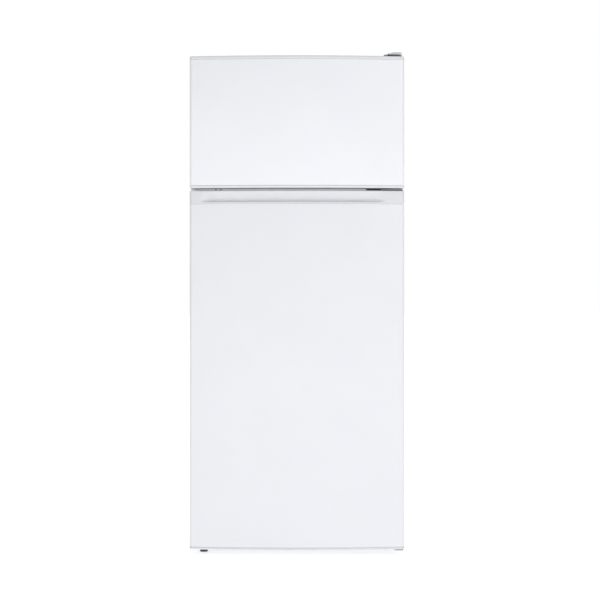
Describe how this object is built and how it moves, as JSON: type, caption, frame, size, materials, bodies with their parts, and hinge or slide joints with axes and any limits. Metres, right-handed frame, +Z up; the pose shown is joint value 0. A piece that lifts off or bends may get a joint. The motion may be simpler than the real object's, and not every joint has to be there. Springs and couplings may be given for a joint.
{
  "type": "top freezer refrigerator",
  "caption": "Narrow white top freezer refrigerator with bowed doors hinged on the right and a scooped finger grip along the top of the fridge door.",
  "frame": {"origin": "on the floor under the middle of the refrigerator's bounding box", "axes": "+Z up, doors facing -Y, +X to the right as seen from the front"},
  "size_m": [0.545, 0.56, 1.2801],
  "materials": {
    "white_paint": "smooth satin white enamel",
    "white_plastic": "satin moulded plastic",
    "liner_plastic": "vacuum-formed gloss plastic",
    "clear_plastic": "clear moulded plastic",
    "gasket_rubber": "matte flexible seal",
    "foam": "rigid insulating foam",
    "zinc_steel": "zinc plated",
    "black_paint": "semi-gloss black enamel",
    "black_plastic": "matte moulded plastic",
    "copper": "bare drawn tube",
    "aluminium": "bare rolled sheet",
    "shelf_glass": "clear toughened glass"
  },
  "bodies": {
    "cabinet": {"outer_wrap": "white_paint", "back_panel": "white_paint", "mullion_rail": "white_paint", "top_hinge_cover": "white_plastic", "freezer_liner": "liner_plastic", "fridge_liner": "liner_plastic", "freezer_shelf": "liner_plastic", "control_housing": "liner_plastic", "lamp_lens": "clear_plastic", "cabinet_foam": "foam", "step_panel": "zinc_steel", "compressor_deck": "zinc_steel", "base_rail": "zinc_steel", "top_hinge": "zinc_steel", "middle_hinge": "zinc_steel", "middle_hinge_screw_1": "zinc_steel", "middle_hinge_screw_2": "zinc_steel", "lower_hinge": "zinc_steel", "roller_bracket_left": "zinc_steel", "roller_bracket_right": "zinc_steel", "compressor": "black_paint", "condenser_coil": "black_paint", "drier_feed_pipe": "black_paint", "relay_cover": "black_plastic", "drip_tray": "black_plastic", "condenser_bracket_upper": "black_plastic", "condenser_bracket_lower": "black_plastic", "drain_tube": "black_plastic", "cord_gland": "black_plastic", "discharge_pipe": "copper", "suction_pipe": "copper", "filter_drier": "copper", "freezer_evaporator": "aluminium", "fridge_evaporator": "aluminium", "crisper_cover_glass": "shelf_glass", "glass_shelf_1": "shelf_glass", "glass_shelf_2": "shelf_glass"},
    "freezer_door": {"freezer_door_skin": "white_paint", "freezer_door_top_cap": "white_plastic", "freezer_door_bottom_cap": "white_plastic", "freezer_door_liner": "liner_plastic", "freezer_door_rack": "clear_plastic", "freezer_door_gasket": "gasket_rubber", "freezer_door_foam": "foam"},
    "fridge_door": {"fridge_door_skin": "white_paint", "fridge_door_grip_cap": "white_plastic", "fridge_door_bottom_cap": "white_plastic", "fridge_door_liner": "liner_plastic", "fridge_door_gasket": "gasket_rubber", "fridge_door_foam": "foam", "dairy_bin": "liner_plastic", "middle_bin": "clear_plastic", "bottle_bin": "clear_plastic"},
    "dairy_cover": {"dairy_cover": "clear_plastic"},
    "crisper_drawer": {"crisper_drawer": "clear_plastic"},
    "thermostat_knob": {"thermostat_knob": "white_plastic"},
    "foot_left": {"foot_left": "black_plastic"},
    "foot_right": {"foot_right": "black_plastic"},
    "roller_left": {"roller_left": "black_plastic"},
    "roller_right": {"roller_right": "black_plastic"}
  },
  "joints": [
    {"name": "freezer_door_hinge", "type": "hinge", "parent": "cabinet", "child": "freezer_door", "pos_m": [0.259, -0.244, 0.934], "axis": [0, 0, 1], "range_deg": [0, 120]},
    {"name": "fridge_door_hinge", "type": "hinge", "parent": "cabinet", "child": "fridge_door", "pos_m": [0.259, -0.244, 0.018], "axis": [0, 0, 1], "range_deg": [0, 120]},
    {"name": "dairy_cover_hinge", "type": "hinge", "parent": "fridge_door", "child": "dairy_cover", "pos_m": [0, -0.2022, 0.762], "axis": [1, 0, 0], "range_deg": [0, 70]},
    {"name": "crisper_slide", "type": "slide", "parent": "cabinet", "child": "crisper_drawer", "axis": [0, -1, 0], "range_m": [0, 0.05]},
    {"name": "thermostat_knob_turn", "type": "hinge", "parent": "cabinet", "child": "thermostat_knob", "pos_m": [0.07, -0.165, 0.8877], "axis": [0, -1, 0], "range_deg": [0, 270]},
    {"name": "foot_left_screw", "type": "hinge", "parent": "cabinet", "child": "foot_left", "pos_m": [-0.241, -0.18, 0], "axis": [0, 0, 1], "continuous": true},
    {"name": "foot_right_screw", "type": "hinge", "parent": "cabinet", "child": "foot_right", "pos_m": [0.241, -0.13, 0], "axis": [0, 0, 1], "continuous": true},
    {"name": "roller_left_spin", "type": "hinge", "parent": "cabinet", "child": "roller_left", "pos_m": [-0.2275, 0.21, 0.0125], "axis": [1, 0, 0], "continuous": true},
    {"name": "roller_right_spin", "type": "hinge", "parent": "cabinet", "child": "roller_right", "pos_m": [0.2275, 0.21, 0.0125], "axis": [1, 0, 0], "continuous": true}
  ]
}
